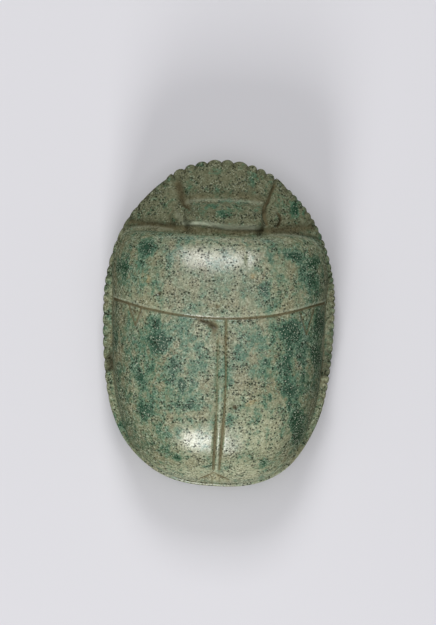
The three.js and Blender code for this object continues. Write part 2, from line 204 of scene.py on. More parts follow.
# Dark green glaze that has stayed on in patches: middle, half sizes, turn, strength
GLAZE = (
    ((-11.3, -0.6), (1.6, 1.5), 0.0, 0.8),
    ((-10.7, -4.0), (1.9, 2.6), 0.2, 1.1),
    ((-7.6, -7.4), (1.4, 2.8), 0.5, 0.8),
    ((-6.2, -11.4), (1.2, 2.2), 0.3, 0.6),
    ((-4.7, -15.1), (3.0, 1.2), 0.1, 0.7),
    ((-13.9, -9.8), (0.8, 2.3), 0.2, 0.95),
    ((-13.0, -16.0), (1.5, 2.0), 0.1, 0.95),
    ((-15.5, -13.8), (0.7, 1.8), 0.1, 0.6),
    ((-17.8, -9.6), (0.7, 2.6), 0.0, 0.55),
    ((-18.6, -3.6), (0.6, 2.4), 0.0, 0.6),
    ((-16.6, -19.2), (1.2, 2.0), 0.3, 0.55),
    ((-8.9, -23.2), (1.6, 1.5), 0.2, 0.45),
    ((-6.5, -24.6), (1.3, 0.7), 0.0, 0.45),
    ((-9.6, -19.0), (1.8, 2.2), 0.0, 0.4),
    ((12.8, -1.2), (2.2, 2.0), 0.3, 1.15),
    ((18.3, 0.8), (1.0, 2.6), 0.0, 1.0),
    ((17.8, -5.3), (1.1, 2.1), 0.1, 1.0),
    ((15.2, -5.7), (1.4, 2.0), 0.0, 0.7),
    ((12.9, -11.8), (1.6, 1.4), 0.2, 1.0),
    ((9.8, -13.0), (0.5, 1.1), 0.2, 0.8),
    ((13.3, -14.4), (0.6, 1.6), 0.1, 0.8),
    ((14.9, -18.0), (1.2, 3.6), 0.1, 1.25),
    ((8.9, -6.6), (1.1, 1.5), 0.0, 0.65),
    ((2.5, -10.8), (1.0, 1.2), 0.0, 0.4),
    ((2.4, -17.3), (0.7, 1.2), 0.0, 0.5),
    ((8.9, -25.0), (1.3, 1.0), 0.0, 0.55),
    ((13.6, 12.6), (1.8, 0.9), -0.2, 1.1),
    ((15.5, 10.0), (3.2, 5.0), 0.0, 0.35),
    ((16.8, 11.4), (1.2, 1.6), 0.0, 0.9),
    ((16.6, 8.4), (1.3, 2.4), 0.0, 0.8),
    ((8.2, 6.8), (1.0, 2.1), -0.2, 0.75),
    ((9.0, 12.4), (1.4, 1.8), 0.0, 0.4),
    ((4.6, 14.4), (0.9, 1.1), 0.0, 0.5),
    ((-1.4, 10.6), (1.8, 0.8), 0.0, 0.4),
    ((-13.3, 13.2), (1.6, 1.6), 0.0, 1.0),
    ((-15.5, 10.5), (3.2, 5.0), 0.0, 0.28),
    ((-8.4, 11.6), (1.8, 2.0), 0.0, 0.4),
    ((-17.6, 9.4), (1.3, 2.4), 0.0, 0.75),
    ((-5.5, 15.0), (1.4, 0.8), 0.0, 0.35),
    ((0.3, 19.9), (1.3, 0.9), 0.0, 0.65),
    ((-2.2, 21.2), (1.2, 0.7), 0.0, 0.4),
    ((3.2, 22.0), (1.4, 0.7), 0.0, 0.4),
    ((-1.6, 27.8), (1.2, 0.8), 0.0, 0.25),
    ((5.8, 26.5), (1.2, 1.1), 0.0, 0.55),
    ((13.3, 21.1), (0.8, 1.5), 0.0, 0.95),
    ((-9.5, -8.0), (8.0, 9.5), 0.0, 0.4),
    ((12.5, -6.5), (6.5, 9.0), 0.0, 0.42),
    ((16.5, -8.0), (2.6, 7.0), 0.0, 0.2),
    ((-4.5, -9.5), (2.5, 5.0), 0.0, 0.35),
    ((6.5, -3.5), (3.5, 4.0), 0.0, 0.35),
)

# Ochre stains: middle, half sizes, turn, strength
OCHRE_STAINS = (
    ((-13.3, 7.6), (1.2, 1.4), 0.0, 0.8),
    ((5.9, 8.6), (0.9, 0.8), 0.0, 0.8),
    ((6.2, -14.2), (2.0, 0.7), 0.5, 0.9),
    ((-11.5, -7.5), (0.9, 1.8), 0.3, 0.5),
    ((0.3, -28.2), (3.2, 0.9), 0.0, 0.7),
    ((6.5, -20.0), (4.0, 3.0), 0.0, 0.4),
)

# Stone rubbed bare and pale, with painted highlights on the prothorax and the tail: middle, half sizes,
# turn, strength
RUBBED_AND_HIGHLIT_STONE = (
    ((8.0, -20.0), (5.5, 5.0), 0.0, 1.0),
    ((4.5, -26.5), (7.5, 2.4), 0.0, 0.9),
    ((-3.0, -27.5), (7.5, 1.8), 0.0, 0.8),
    ((-3.6, -22.0), (3.0, 3.6), 0.0, 0.9),
    ((-3.2, -4.5), (1.8, 4.0), 0.0, 0.5),
    ((-0.5, 12.6), (5.5, 2.2), 0.0, 0.75),
    ((19.6, -4.0), (0.7, 7.0), 0.0, 0.8),
)

# Worn pale edges, and painted highlights, the strongest along the head's rear ridge: places along the
# line, width, strength
PALE_EDGES_AND_HIGHLIGHTS = (
    (((-18.0, 15.6), (-16.4, 17.0), (-13.2, 17.3), (-9.0, 16.8)), 0.22, 0.25),
    (((8.6, 16.2), (11.4, 16.5), (13.9, 16.3), (16.8, 15.5), (18.2, 14.0)), 0.22, 0.3),
    (((-6.8, 18.0), (-3.2, 18.05), (-1.6, 17.85), (0.8, 17.45), (6.8, 17.55)), 0.3, 1.2),
    (((-8.1, 19.6), (-7.4, 18.6)), 0.4, 0.3),
    (((-6.6, 22.3), (0.5, 22.5), (7.2, 22.2)), 0.25, 0.35),
    (((0.68, -12.0), (0.6, -27.0)), 0.2, 0.5),
)

# Dark dirt in cuts and pits, and painted shade in grooves, valleys and undercuts: places along the
# line, width, strength
DARK_DIRT_AND_SHADE_LINES = (
    (((-6.6, 17.7), (-3.5, 17.6), (-1.2, 17.25), (1.9, 16.85), (7.6, 17.1)), 0.17, 1.0),
    (((-8.3, 25.4), (-7.5, 23.0), (-6.6, 21.2)), 0.5, 0.6),
    (((9.4, 25.4), (8.3, 22.6), (7.8, 20.6)), 0.22, 0.8),
    (((10.5, 20.2), (10.9, 19.3), (10.5, 18.2)), 0.18, 0.8),
    (((-3.0, 0.3), (-1.6, -0.1), (-0.7, -0.7)), 0.4, 0.9),
    (((-19.7, -6.4), (-19.6, -9.4)), 0.4, 0.5),
    (((-10.9, 5.0), (-10.8, 4.9)), 0.3, 1.0),
    (((-18.2, 17.1), (-13.0, 17.9), (-8.5, 17.5)), 0.4, 0.5),
    (((9.5, 17.0), (14.0, 17.0), (17.6, 16.0)), 0.45, 0.6),
    (((3.3, -14.8), (3.6, -15.2)), 0.35, 0.8),
)

rng = np.random.default_rng(20)


def smooth(low, high, value):
    """A smooth step from 0 at low to 1 at high."""
    share = np.clip((value - low) / (high - low), 0, 1)
    return share * share * (3 - 2 * share)


def mix(a, b, share):
    """From a at share 0 to b at share 1."""
    return a + (b - a) * share


def bell(distance, width):
    """1 at no distance and 0.37 at the given width."""
    return np.exp(-((distance / width) ** 2))


def power(value, exponent):
    """A power of the value, with nothing below 0."""
    return np.maximum(value, 0) ** exponent


def rounded(distance, radius):
    """A wall with a rounded top edge, by the distance in from its foot."""
    share = np.clip(distance / radius, 0, 1)
    return np.sqrt(1 - (1 - share) ** 2)


def along_line(x, y, places, width):
    """A soft line through places in plan: 1 on it, falling off over the width."""
    nearest = np.full(x.shape, np.inf)
    for (ax, ay), (bx, by) in zip(places, places[1:]):
        dx = bx - ax
        dy = by - ay
        share = np.clip(((x - ax) * dx + (y - ay) * dy) / (dx * dx + dy * dy), 0, 1)
        nearest = np.minimum(nearest, np.hypot(x - ax - share * dx, y - ay - share * dy))
    return bell(nearest, width)


def spot(x, y, at, radii, turned):
    """A soft oval spot in plan: 1 in its middle, 0.37 on its edge."""
    c = math.cos(turned)
    s = math.sin(turned)
    dx = x - at[0]
    dy = y - at[1]
    return np.exp(-(((dx * c + dy * s) / radii[0]) ** 2) - ((dy * c - dx * s) / radii[1]) ** 2)


def ripple(x, y, pitch, count=7):
    """Uneven ground between -1 and 1: waves of random direction, length near a pitch and phase."""
    turns = rng.uniform(0, math.pi, count)
    stretches = rng.uniform(0.7, 1.5, count)
    phases = rng.uniform(0, 2 * math.pi, count)
    total = np.zeros(x.shape)
    for turned, stretch, phase in zip(turns, stretches, phases):
        along = x * math.cos(turned) + y * math.sin(turned)
        total += np.sin(along * 2 * math.pi / (pitch * stretch) + phase)
    return total / count


# The forms that the back, the ledge and the plate share

def plan_point(half_width, centre, front, back, angle, inset=0.0):
    """Half superellipses that swell midway, ahead of and behind a centre, at a plan angle."""
    s = np.sin(angle)
    c = np.cos(angle)
    length, fullness, swell = (np.where(c > 0, f, b) for f, b in zip(front, back))
    reach = (np.abs(s) ** fullness + np.abs(c) ** fullness) ** (-1 / fullness)
    share = np.abs(c) * reach
    swelling = 1 + swell * 4 * share * (1 - share)
    return (half_width - inset) * swelling * s * reach, centre + (length - inset) * c * reach


def end_share(station):
    """How far a station on the back lies from the suture's ends towards the front or the tail."""
    length = np.where(station > SUTURE, BODY_FRONT[0], BODY_BACK[0])
    return np.clip(np.abs(station - SUTURE) / length, 0, 1)


def body_half(station):
    """Half width of the back's plan at a station."""
    share = end_share(station)
    fullness, swell = (np.where(station > SUTURE, f, b) for f, b in zip(BODY_FRONT[1:], BODY_BACK[1:]))
    return BODY_HALF * (1 + swell * 4 * share * (1 - share)) * power(1 - share**fullness, 1 / fullness)


def sagged(x, station):
    """A station on the back moved towards the tail, most on the midline and nothing at the flank."""
    share = end_share(station)
    ahead = mix(SUTURE_SAG, PROTHORAX_HOLLOW, share)
    sag = np.where(station > SUTURE, ahead, SUTURE_SAG * (1 - share) ** 2)
    return station - sag * (1 - np.clip(x / BODY_HALF, -1, 1) ** 2)


def prothorax_edge(x):
    """How far ahead the prothorax's hollow front edge lies."""
    return sagged(x, np.full(x.shape, PROTHORAX_FRONT))


def flank_top(station):
    """The upright flank's top edge, which falls to the tail with the square of the way there."""
    share = np.clip((SUTURE - station) / BODY_BACK[0], 0, 1)
    return PLATE + mix(FLANK_RISE, TAIL_FLANK_RISE, share**2)


def apron_height(x, y):
    """A cone that climbs from the rim towards the neck."""
    out = np.hypot(x / HALF_WIDTH, (y - WIDEST) / BASE_FRONT[0])
    return PLATE + RIM_RISE + APRON_CLIMB * np.maximum(0, 1 - out)


def dome_height(x, station):
    """Superellipse cross sections under a crest that falls to the tail and to a high front edge."""
    low = flank_top(station)
    share = end_share(station)
    front_edge = apron_height(0, PROTHORAX_FRONT) + PROTHORAX_RISE
    edge_share = (front_edge - low) / (HEIGHT - low)
    falling = (1 - edge_share**DOME_FULLNESS) * share**CREST_FULLNESS
    fallen = np.where(station > SUTURE, falling, share ** BODY_BACK[1])
    aside = np.clip(np.abs(x) / np.maximum(body_half(station), 1e-6), 0, 1)
    dome = power((1 - fallen) * (1 - aside**CROSS_FULLNESS), 1 / DOME_FULLNESS)
    short = FRONT_EDGE_ROUNDING - np.clip(PROTHORAX_FRONT - station, 0, FRONT_EDGE_ROUNDING)
    rounding = FRONT_EDGE_ROUNDING - np.sqrt(FRONT_EDGE_ROUNDING**2 - short**2)
    return np.maximum(low, low + (HEIGHT - low) * dome - rounding)


def askew(x, y):
    """How far the tail's end is moved by its slanting cut."""
    return -TAIL_ASKEW * x * smooth(-20, -27, y)


# The toothed outline

def outline_notches(side):
    """Plan angles of the notches from the midline to the rear end of the side teeth."""
    own = [side * x for x in CLYPEUS_NOTCHES if side * x > 0]
    angles = sorted(math.asin(x / HALF_WIDTH) for x in own)
    lobes = len(angles)
    radius = (HALF_WIDTH + BASE_FRONT[0]) / 2
    pitches = list(FIRST_TEETH[side])
    while angles[-1] < FRONT_PITCH_UNTIL:
        angles.append(angles[-1] + pitches[0] / radius)
        pitches = pitches[1:] or pitches
    while angles[-1] < NOTCHES_UNTIL:
        angles.append(angles[-1] + SIDE_TEETH[side] / BASE_BACK[0])
    return np.array(angles), lobes


def tooth_bite(phase):
    """How much is cut away, from 1 in a notch at each whole phase to 0 on the tooth between."""
    return 1 - np.abs(np.sin(math.pi * phase)) ** TOOTH_FULLNESS


def outline_cut(angle):
    """How far the outline is cut back at a plan angle, and how deep in a notch that is, 0 to 1.

    The cut is the bite of the teeth times their depth, plus a set-back behind the clypeus. Depth
    and set-back change from the clypeus along the front leg to the side, and fade out at the tail.
    """
    first = {side: outline_notches(side)[0][0] for side in (-1, 1)}
    share = np.clip((angle + first[-1]) / (first[-1] + first[1]), 0, 1)
    notched = tooth_bite(share)
    cut = LOBE_DEPTH * notched
    for side in (-1, 1):
        notches, lobes = outline_notches(side)
        turned = side * angle
        bite = tooth_bite(np.interp(turned, notches, np.arange(len(notches))))
        depth = np.where(turned < notches[lobes - 1], LOBE_DEPTH, TOOTH_DEPTH[side])
        depth = mix(depth, SIDE_TOOTH_DEPTH, smooth(*SIDE_TEETH_RAMP, turned))
        along_leg = smooth(notches[lobes], SIDE_TEETH_RAMP[0], turned)
        behind = mix(FRONT_LEG_SET_BACK[side], LEG_SET_BACK, along_leg)
        behind = behind * smooth(notches[lobes - 1], notches[lobes - 1] + SET_BACK_RAMP, turned)
        fading = 1 - smooth(*TEETH_FADE, turned)
        on_side = turned >= notches[0]
        cut = np.where(on_side, (depth * bite + behind) * fading, cut)
        notched = np.where(on_side, bite * fading, notched)
    return cut, notched


class Outline:
    """Places on the outline by the compass angle about the middle of the suture's ends."""

    def __init__(self):
        self.angle = np.linspace(-math.pi, math.pi, OUTLINE_STEPS)
        self.cut, self.notched = outline_cut(self.angle)
        x, y = plan_point(HALF_WIDTH, WIDEST, BASE_FRONT, BASE_BACK, self.angle)
        self.compass = full_turn(x, y)

    def at(self, compass, inset, toothed):
        """A point of the outline moved in by an inset, with a share of the teeth cut."""
        angle = np.interp(compass, self.compass, self.angle)
        return plan_point(
            HALF_WIDTH, WIDEST, BASE_FRONT, BASE_BACK, angle, inset + self.cut_at(compass) * toothed
        )

    def cut_at(self, compass):
        """How far the outline is cut back."""
        return np.interp(compass, self.compass, self.cut)

    def notched_at(self, compass):
        """How deep in a notch a place lies, 0 to 1."""
        return np.interp(compass, self.compass, self.notched)


def full_turn(x, y):
    """Compass angles of points that go once round, from -pi to pi."""
    compass = np.unwrap(np.arctan2(x, y - SUTURE))
    compass[0] = -math.pi
    compass[-1] = math.pi
    return compass


def body_edge(compass):
    """The back's own outline along a compass angle."""
    angle = np.linspace(-math.pi, math.pi, OUTLINE_STEPS)
    own_compass = full_turn(*plan_point(BODY_HALF, SUTURE, BODY_FRONT, BODY_BACK, angle))
    return plan_point(BODY_HALF, SUTURE, BODY_FRONT, BODY_BACK, np.interp(compass, own_compass, angle))


# The ledge with legs, apron, head and eyes

def leg_top(station):
    """Rise of the ledge's outer edge above the plate: apron rim, middle leg, hind leg, tail."""
    rise = np.full(station.shape, RIM_RISE)
    for front, rear, high, low in (MIDDLE_LEG, HIND_LEG):
        share = np.clip((front - station) / (front - rear), 0, 1)
        rise = mix(rise, mix(high, low, share), smooth(front + 0.25, front - 0.25, station))
    behind = smooth(HIND_LEG[1] + 0.6, HIND_LEG[1] - 1.2, station)
    return mix(rise, EDGE_ROUNDING + 0.12, behind)


def legs_height(x, y):
    """The tops of the legs, which rise a little inwards from the edge."""
    angle = np.arctan2(np.abs(x) / HALF_WIDTH, (y - WIDEST) / BASE_BACK[0])
    edge_x, edge_y = plan_point(HALF_WIDTH, WIDEST, BASE_FRONT, BASE_BACK, angle)
    inward = np.hypot(edge_x - np.abs(x), edge_y - y)
    return PLATE + leg_top(y) + LEG_RISE * smooth(0.2, 2.4, inward) * smooth(-29, -25, y)


def head_rear(x):
    """The head's rear edge, which steps back towards the tail from left to right."""
    return HEAD_REAR - HEAD_REAR_STEP * np.tanh((x + 2.0) / 1.5) + 0.3 * smooth(4.5, 8.0, x)


def head_front(x):
    """The head's front edge, a shallow parabola."""
    return HEAD_FRONT - 0.013 * (x - 0.9) ** 2


def before_head(x, y):
    """Where the clypeus is dished in front of the head."""
    return bell(y - head_front(x) - 1.2, 1.0) * (1 - smooth(6.5, 9.5, np.abs(x - HEAD_MIDDLE)))


def before_prothorax(x, y):
    """Where the valley runs in front of the prothorax."""
    return bell(y - prothorax_edge(x) - 0.9, 0.95) * (1 - smooth(17.5, 20.5, np.abs(x)))


def head_height(x, y, foot):
    """A block with rounded edges on a foot, highest along its rear and falling towards the clypeus."""
    across = (x - HEAD_MIDDLE) / HEAD_HALF
    at_side, at_rear, at_front = HEAD_ROUNDINGS
    walls = rounded(HEAD_HALF * (1 - np.abs(across)), at_side)
    walls = walls * rounded(y - head_rear(x), at_rear) * rounded(head_front(x) - y, at_front)
    share = (y - head_rear(x)) / (head_front(x) - head_rear(x))
    top = apron_height(0, y) + HEAD_RISE - HEAD_FALL * share - across**2
    return mix(foot, top, walls)


def neck_height(x, y, foot):
    """A low block that joins the head to the prothorax, under the head's rear ridge."""
    across = (x - HEAD_MIDDLE) / HEAD_HALF
    side = rounded(HEAD_HALF - 0.6 - np.abs(x - HEAD_MIDDLE), 1.6)
    near = np.abs(y - PROTHORAX_FRONT) < 1.5 * PROTHORAX_HOLLOW
    return np.where(near, mix(foot, NECK_HEIGHT - 0.9 * across**2, side), 0)


def ledge_height(x, y):
    """The apron with head, eyes and clypeus in front, and the tops of the legs along the sides."""
    apron = apron_height(x, y)
    front = smooth(FRONT_LEG_REAR - 0.2, FRONT_LEG_REAR + 0.5, y)
    ground = mix(legs_height(x, y), apron, front)
    ground = ground - VALLEY_DEPTH * before_prothorax(x, y) * front - DISH_DEPTH * before_head(x, y)
    foot = apron - HEAD_FOOT
    ground = np.maximum(ground, head_height(x, y, foot))
    ground = np.maximum(ground, neck_height(x, y, foot))
    for eye_x, eye_y in EYES:
        reach = ((x - eye_x) / EYE_RADII[0]) ** 2 + ((y - eye_y) / EYE_RADII[1]) ** 2
        ball = apron_height(eye_x, eye_y) - EYE_SINK + EYE_RISE * np.sqrt(np.clip(1 - reach, 0, 1))
        ground = np.where(reach < 1, np.maximum(ground, ball), ground)
    return ground


# The upper side

def crowded_rows(count):
    """Rows from the suture outwards, close together near it."""
    share = np.linspace(0, 1, count + 1)
    return share * mix(ROW_CROWDING, 1, smooth(0, 0.35, share))


def pressed_grid():
    """A square grid pressed into a disc: places across and ahead, and the distance out."""
    plain = HALF_COLUMNS - MIDLINE_COLUMNS // 2 + 1
    left = np.linspace(-1, MIDLINES_FROM, plain)
    middle = np.linspace(MIDLINES_FROM, MIDLINES_TO, MIDLINE_COLUMNS + 1)
    right = np.linspace(MIDLINES_TO, 1, plain)
    u = np.concatenate([left[:-1], middle, right[1:]])
    v = np.concatenate([-crowded_rows(BACK_ROWS)[:0:-1], crowded_rows(FRONT_ROWS)])
    grid_u, grid_v = np.meshgrid(u, v)
    across = grid_u * np.sqrt(1 - grid_v**2 / 2)
    ahead = grid_v * np.sqrt(1 - grid_u**2 / 2)
    return across, ahead, np.minimum(np.hypot(across, ahead), 1)


class Cap:
    """The upper side as a grid of points whose rays run over the back, down the flank and out.

    Along a ray the share of the way out covers the back up to back_share, then the flank, then
    the ledge as far as the rim, where the teeth come in over the last stretch.
    """

    def __init__(self, outline):
        across, forward, out = pressed_grid()
        reach = np.where(forward > 0, REACH_AHEAD, REACH_BEHIND)
        self.compass = np.where(out > 0, np.arctan2(across * BODY_HALF, forward * reach), 0)
        body_x, body_y = body_edge(self.compass)
        room_x = outline.at(self.compass, FOOT_ROOM, 0.0)[0]
        body_x = np.clip(body_x, -np.abs(room_x), np.abs(room_x))
        north = np.cos(self.compass)
        ends = np.where(forward > 0, BACK_SHARE["front"], BACK_SHARE["tail"])
        back_share = mix(BACK_SHARE["side"], ends, smooth(0.25, 0.85, np.abs(north)))
        foot_share = back_share + FLANK_SHARE

        # Back: from the middle to the body's edge, a little closer towards the edge
        along = 1 - (1 - np.clip(out / back_share, 0, 1)) ** 1.3
        self.station = mix(SUTURE, body_y, along)
        kept_in = 1 - 0.01 * smooth(0.5, 0.9, north)  # at the front, heights are read further in
        x = body_x * along
        z = dome_height(x * kept_in, SUTURE + (self.station - SUTURE) * kept_in)
        y = sagged(x, self.station)

        # Flank: down to a foot a little further out
        on_flank = out > back_share
        flank = np.clip((out - back_share) / FLANK_SHARE, 0, 1)
        edge_y = sagged(body_x, body_y)
        foot_x = body_x * 1.004
        foot_y = edge_y + 0.12 * np.sign(north) * smooth(0.2, 0.8, np.abs(north))
        foot_z = np.minimum(ledge_height(foot_x, foot_y), z)
        x = np.where(on_flank, mix(body_x, foot_x, flank), x)
        y = np.where(on_flank, mix(edge_y, foot_y, flank), y)
        z = np.where(on_flank, mix(z, foot_z, flank), z)

        # Ledge: out to the rim
        on_ledge = out > foot_share
        ledge = np.clip((out - foot_share) / (1 - foot_share), 0, 1)
        rim_x, rim_y = outline.at(self.compass, EDGE_ROUNDING, 1.0)
        plain_x, plain_y = outline.at(self.compass, EDGE_ROUNDING, 0.0)
        width = np.hypot(plain_x - foot_x, plain_y - foot_y)
        toothed = smooth(1 - TOOTH_REACH / width, 1, ledge)
        ledge_x = mix(foot_x, mix(plain_x, rim_x, toothed), ledge)
        ledge_y = mix(foot_y, mix(plain_y, rim_y, toothed), ledge)
        x = np.where(on_ledge, ledge_x, x)
        y = np.where(on_ledge, ledge_y, y)
        z = np.where(on_ledge, ledge_height(ledge_x, ledge_y), z)

        self.points = np.stack([x, y + askew(x, y), z], axis=-1)
        self.on_back = np.where(on_flank, 0.0, 1.0)
        self.on_ledge = np.where(on_ledge, 1.0, 0.0)
        self.ledge = ledge
        self.toothed = np.where(on_ledge, toothed, 0.0)


def grid_normals(points):
    """Unit normals: the cross product of the grid's two directions."""
    along_u = np.gradient(points, axis=1)
    along_v = np.gradient(points, axis=0)
    normal = np.cross(along_u, along_v)
    return normal / np.maximum(np.linalg.norm(normal, axis=-1, keepdims=True), 1e-9)


def suture_distance(cap):
    """Distance from the suture along the back; it wanders and rises at its right-hand end."""
    x = cap.points[..., 0]
    wander = 0.05 * ripple(x, cap.points[..., 1], 6.0) + 0.4 * smooth(9, 19, x)
    return cap.station - SUTURE - wander


def valley_dirt_and_shade(cap):
    """Where dirt lies, and shade is painted, in the valley in front of the prothorax and beside its
    corners.
    """
    x = cap.points[..., 0]
    y = cap.points[..., 1]
    in_front = (1 - cap.on_back) * smooth(8.5, 10.5, y)
    return in_front * bell(y - prothorax_edge(x) - 1.0, 1.0)


def carve(cap, from_suture):
    """Depths of the lines, hollows, pits and chips, and how much brown deposit lies in each."""
    x = cap.points[..., 0]
    y = cap.points[..., 1]
    width, depth, brown = SUTURE_MARK
    marks = [(cap.on_back * bell(from_suture, width), depth, brown)]
    deeper = smooth(*MIDLINES_DEEPEN, y)
    for line, start, strength in MIDLINES:
        strong = mix(strength, 1.0, deeper)
        mask = cap.on_back * along_line(x, y, line, mix(*MIDLINE_WIDTHS, deeper))
        mask = mask * strong * smooth(start + 1.0, start - 1.0, y)
        marks.append((mask, MIDLINE_DEPTH, MIDLINE_BROWN))
    for places, width, depth, brown in BACK_LINES:
        marks.append((cap.on_back * along_line(x, y, places, width), depth, brown))
    for places, width, depth, brown in LINES:
        marks.append((along_line(x, y, places, width), depth, brown))
    for at, radii, turned, depth, brown in SPOTS:
        marks.append((spot(x, y, at, radii, turned), depth, brown))

    # Dirt that lies in the valleys and along the foot of the flank
    marks.append((valley_dirt_and_shade(cap), 0.0, VALLEY_BROWN))
    marks.append((before_head(x, y), 0.0, DISH_BROWN))
    foot = bell(cap.ledge, 0.12) * cap.on_ledge * (1 - smooth(9.0, 12.0, y)) * smooth(-27.5, -23.0, y)
    marks.append((foot, 0.0, FOOT_BROWN))
    groove = np.maximum.reduce([mask * depth for mask, depth, brown in marks])
    deposit = np.maximum.reduce([mask * brown for mask, depth, brown in marks])
    return groove, deposit


def ring_loop(array):
    """The grid's border in order, counter-clockwise from above."""
    return np.concatenate([array[0, :-1], array[:-1, -1], array[-1, :0:-1], array[:0:-1, 0]])


def edge_rings(rim, compass, outline):
    """Rings below the rim: round the leg's edge, into the slot, down the plate and underneath."""
    top = rim[:, 2]
    front = smooth(FRONT_LEG_REAR - 0.2, FRONT_LEG_REAR + 0.4, rim[:, 1])
    leg_bottom = mix(np.maximum(top - LEG_DEPTH, PLATE + 0.03), PLATE + FRONT_SLOT, front)
    slot = SLOT_DEPTH * smooth(0.03, 0.6, leg_bottom - PLATE)
    set_back = PLATE_SET_BACK * (1 - np.maximum(0, -np.cos(compass)) ** 6)

    # Each ring's inset, height and share of the teeth
    plan = [
        (EDGE_ROUNDING * (1 - math.sin(turned)), top - EDGE_ROUNDING * (1 - math.cos(turned)), 1.0)
        for turned in np.radians((22.5, 45.0, 67.5, 90.0))
    ]
    plan += [
        (0.0, mix(top - EDGE_ROUNDING, leg_bottom, 0.5), 1.0),
        (0.0, leg_bottom + 0.02, 1.0),
        (0.12 * smooth(0, 1, slot), leg_bottom, 1.0),
        (np.maximum(slot, 0.05), leg_bottom - 0.004, 1.0),
        (np.maximum(slot, set_back + 0.1), PLATE + 0.008, 0.0),
        (set_back + 0.25 * PLATE_BEVEL, PLATE, 0.0),
        (set_back, PLATE - PLATE_BEVEL, 0.0),
        (set_back, 0.5 * PLATE, 0.0),
        (set_back, PLATE_BEVEL, 0.0),
        (set_back + 0.3 * PLATE_BEVEL, 0.3 * PLATE_BEVEL, 0.0),
        (set_back + PLATE_BEVEL, 0.0, 0.0),
    ]
    plan += [(inset, height, 0.0) for inset, height in zip(UNDER_LINE, (0.0, UNDER_LINE_DEPTH, 0.0))]
    rings = []
    for inset, height, toothed in plan:
        x, y = outline.at(compass, inset, toothed)
        rings.append(np.stack([x, y + askew(x, y), np.broadcast_to(height, x.shape)], axis=-1))
    return rings


UNDER_RINGS = 2 + len(UNDER_LINE)  # the last of edge_rings: on the lower bevel and underneath


def assemble(points, rings):
    """Vertices, and quads and a closing fan, of the cap with its band of rings."""
    rows, columns = points.shape[:2]
    number = np.arange(rows * columns).reshape(rows, columns)
    cap = np.stack([number[:-1, :-1], number[:-1, 1:], number[1:, 1:], number[1:, :-1]], axis=-1)
    loop = ring_loop(number)
    count = len(loop)
    levels = [loop] + [number.size + i * count + np.arange(count) for i in range(len(rings))]
    faces = [cap.reshape(-1, 4)]
    for upper, lower in zip(levels, levels[1:]):
        faces.append(np.stack([upper, lower, np.roll(lower, -1), np.roll(upper, -1)], axis=-1))
    middle = number.size + len(rings) * count
    fan = np.stack([levels[-1], np.full(count, middle), np.roll(levels[-1], -1)], axis=-1)
    vertices = np.concatenate([points.reshape(-1, 3), *rings, np.zeros((1, 3))])
    return vertices, np.concatenate(faces), fan


def make_mesh(name, vertices, quads, fan):
    """A smooth-shaded mesh in metres of quads and the fan's triangles."""
    mesh = bpy.data.meshes.new(name)
    mesh.vertices.add(len(vertices))
    mesh.vertices.foreach_set("co", (vertices * MM).astype(np.float32).ravel())
    corners = np.concatenate([quads.ravel(), fan.ravel()])
    mesh.loops.add(len(corners))
    mesh.loops.foreach_set("vertex_index", corners.astype(np.int32))
    sizes = np.concatenate([np.full(len(quads), 4), np.full(len(fan), 3)])
    starts = np.concatenate([[0], np.cumsum(sizes)[:-1]])
    mesh.polygons.add(len(sizes))
    mesh.polygons.foreach_set("loop_start", starts.astype(np.int32))
    mesh.update(calc_edges=True)
    mesh.validate()
    mesh.shade_smooth()
    return mesh


def add_attribute(mesh, rings, name, cap_values, under_value):
    """A value per vertex: over the cap, straight down the band, and one value underneath."""
    band = np.tile(ring_loop(cap_values), (len(rings), 1))
    band[-UNDER_RINGS:] = under_value
    values = np.concatenate([cap_values.ravel(), band.ravel(), [under_value]])
    mesh.attributes.new(name, "FLOAT", "POINT").data.foreach_set("value", values.astype(np.float32))


def strongest_spot(x, y, spots):
    """The strongest of some soft spots at each place."""
    fields = [strength * spot(x, y, at, radii, turned) for at, radii, turned, strength in spots]
    return np.maximum.reduce(fields)


def strongest_line(x, y, lines):
    """The strongest of some soft lines at each place."""
    fields = [strength * along_line(x, y, places, width) for places, width, strength in lines]
    return np.maximum.reduce(fields)


